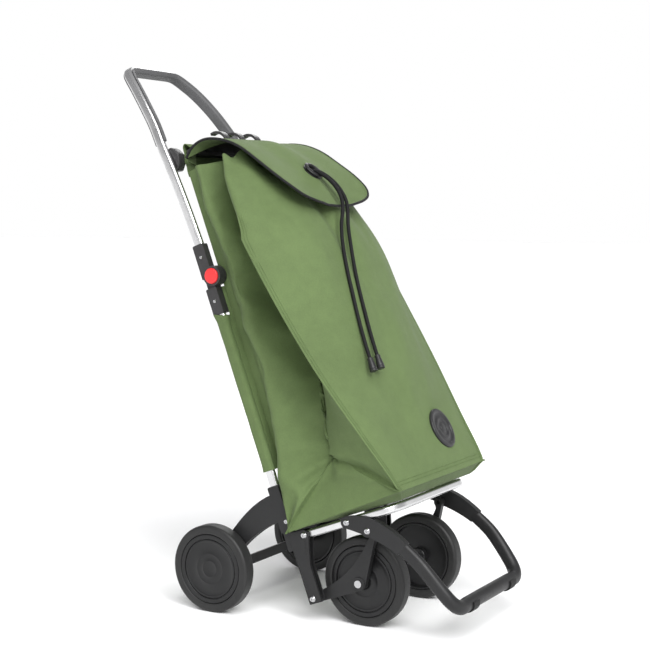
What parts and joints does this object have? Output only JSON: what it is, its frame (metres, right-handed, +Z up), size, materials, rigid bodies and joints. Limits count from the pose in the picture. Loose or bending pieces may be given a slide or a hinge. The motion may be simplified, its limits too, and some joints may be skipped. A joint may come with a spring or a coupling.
{
  "type": "folding shopping trolley",
  "caption": "Personal shopping trolley: a tall fabric bag with a drawcord flap on a folding aluminium frame with four plastic wheels and an arched handle.",
  "frame": {"origin": "middle of the footprint on the floor, under the middle of the whole object", "axes": "+Z up, -Y towards the front (the side with the flap and the foot), +X towards the left side as the user behind it sees it turned round; parked on its four wheels, leaning back 20.6 degrees"},
  "size_m": [0.472, 0.781, 1.0357],
  "materials": {
    "silver_tube": "satin",
    "steel": "satin",
    "charcoal_plastic": "matte",
    "grip": "soft matte",
    "button_red": "gloss",
    "tyre": "matte",
    "rubber_pad": "matte",
    "green_fabric": "matte woven",
    "black_trim": "matte woven",
    "tip_plastic": "matte",
    "board": "matte"
  },
  "bodies": {
    "frame": {"lower_tube_right": "silver_tube", "lower_tube_left": "silver_tube", "lower_socket_right": "charcoal_plastic", "lower_socket_left": "charcoal_plastic", "hinge_pins": "steel", "lower_rivets": "steel", "sleeve_right": "green_fabric", "sleeve_left": "green_fabric", "post_right": "charcoal_plastic", "post_left": "charcoal_plastic", "rear_arm_right": "charcoal_plastic", "rear_arm_left": "charcoal_plastic", "rear_crossbar": "charcoal_plastic", "rear_axles": "steel", "arm_screws": "steel", "pivot_pins": "steel", "bag_lower": "green_fabric", "badge": "charcoal_plastic", "cord_a_lower": "black_trim", "cord_b_lower": "black_trim", "cord_tip_a": "tip_plastic", "cord_tip_b": "tip_plastic"},
    "handle": {"handle_tube": "silver_tube", "handle_grip": "grip", "upper_socket_right": "charcoal_plastic", "upper_socket_left": "charcoal_plastic", "upper_rivets": "steel", "bracket_right": "charcoal_plastic", "bracket_left": "charcoal_plastic", "hook_rail": "charcoal_plastic", "top_panel": "green_fabric", "bag_upper": "green_fabric", "cord_a_upper": "black_trim", "cord_b_upper": "black_trim"},
    "button_right": {"button_right": "button_red"},
    "button_left": {"button_left": "button_red"},
    "flap": {"flap": "green_fabric", "flap_piping": "black_trim", "eyelet": "charcoal_plastic"},
    "platform": {"platform_tube": "silver_tube", "foot_pins": "steel", "base_board": "board"},
    "foot": {"foot_plate_right": "charcoal_plastic", "foot_plate_left": "charcoal_plastic", "foot_loop": "charcoal_plastic", "foot_pads": "rubber_pad", "link_pins": "steel"},
    "fork": {"fork_right": "charcoal_plastic", "fork_left": "charcoal_plastic", "front_axle": "steel"},
    "rear_wheel_right": {"rear_tyre_right": "tyre", "rear_hub_right": "charcoal_plastic"},
    "rear_wheel_left": {"rear_tyre_left": "tyre", "rear_hub_left": "charcoal_plastic"},
    "front_wheel_right": {"front_tyre_right": "tyre", "front_hub_right": "charcoal_plastic"},
    "front_wheel_left": {"front_tyre_left": "tyre", "front_hub_left": "charcoal_plastic"}
  },
  "joints": [
    {"name": "handle_fold", "type": "hinge", "parent": "frame", "child": "handle", "pos_m": [0, 0.12084, 0.63177], "axis": [1, 0, 0], "range_deg": [0, 165], "deforming": ["bag_upper", "bag_lower", "badge", "cord_a_upper", "cord_a_lower", "cord_b_upper", "cord_b_lower", "cord_tip_a", "cord_tip_b"]},
    {"name": "platform_fold", "type": "hinge", "parent": "frame", "child": "platform", "pos_m": [0, -0.07886, 0.16306], "axis": [-1, 0, 0], "range_deg": [0, 75]},
    {"name": "fork_swing", "type": "hinge", "parent": "frame", "child": "fork", "pos_m": [0, -0.09779, 0.04732], "axis": [-1, 0, 0], "range_deg": [0, 39]},
    {"name": "foot_swing", "type": "hinge", "parent": "platform", "child": "foot", "pos_m": [0, -0.16778, 0.19649], "axis": [1, 0, 0], "range_deg": [0, 108]},
    {"name": "rear_wheel_right_spin", "type": "hinge", "parent": "frame", "child": "rear_wheel_right", "pos_m": [-0.1765, 0.10987, 0.0825], "axis": [1, 0, 0], "continuous": true},
    {"name": "rear_wheel_left_spin", "type": "hinge", "parent": "frame", "child": "rear_wheel_left", "pos_m": [0.1765, 0.10987, 0.0825], "axis": [1, 0, 0], "continuous": true},
    {"name": "front_wheel_right_spin", "type": "hinge", "parent": "fork", "child": "front_wheel_right", "pos_m": [-0.109, -0.18285, 0.0825], "axis": [1, 0, 0], "continuous": true},
    {"name": "front_wheel_left_spin", "type": "hinge", "parent": "fork", "child": "front_wheel_left", "pos_m": [0.109, -0.18285, 0.0825], "axis": [1, 0, 0], "continuous": true},
    {"name": "button_right_press", "type": "slide", "parent": "handle", "child": "button_right", "axis": [1, 0, 0], "range_m": [0, 0.004], "stiffness_N_per_m": 400, "springref_m": -0.002},
    {"name": "button_left_press", "type": "slide", "parent": "handle", "child": "button_left", "axis": [-1, 0, 0], "range_m": [0, 0.004], "stiffness_N_per_m": 400, "springref_m": -0.002},
    {"name": "flap_open", "type": "hinge", "parent": "handle", "child": "flap", "pos_m": [0, 0.14855, 0.88736], "axis": [-1, 0, 0], "range_deg": [0, 95], "deforming": ["flap", "flap_piping", "eyelet"]}
  ],
  "couplings": [
    {"joint": "fork_swing", "follows": "platform_fold", "ratio": 0.5133},
    {"joint": "foot_swing", "follows": "platform_fold", "ratio": 1.4333}
  ]
}
